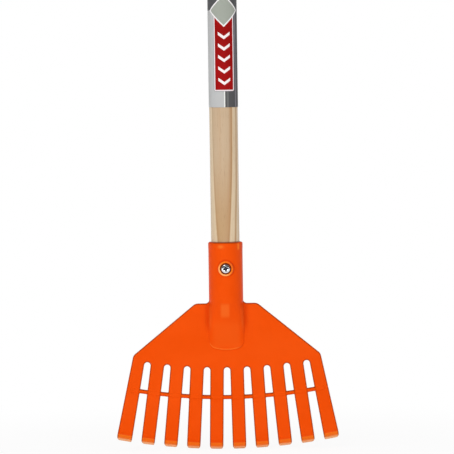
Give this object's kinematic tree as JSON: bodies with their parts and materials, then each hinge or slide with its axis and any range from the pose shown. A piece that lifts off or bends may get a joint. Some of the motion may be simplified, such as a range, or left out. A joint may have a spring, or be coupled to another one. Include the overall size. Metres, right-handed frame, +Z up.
{
  "type": "sand rake",
  "caption": "Child's fan rake: moulded orange head with bent tines and a bridging bar, on a lacquered wooden handle.",
  "frame": {"origin": "on the handle's axis at the height of the tine tips", "axes": "+Z up the handle, -Y the front with the screw and the label's face, +X to the right seen from the front"},
  "size_m": [0.1872, 0.0305, 0.8],
  "materials": {
    "rake_head": "moulded orange plastic, satin gloss",
    "handle": "clear lacquered light hardwood",
    "screw": "bright zinc plated steel",
    "label": "printed film, satin"
  },
  "bodies": {
    "root": {"rake_head": "rake_head", "handle": "handle", "screw": "screw", "label": "label"}
  },
  "joints": []
}
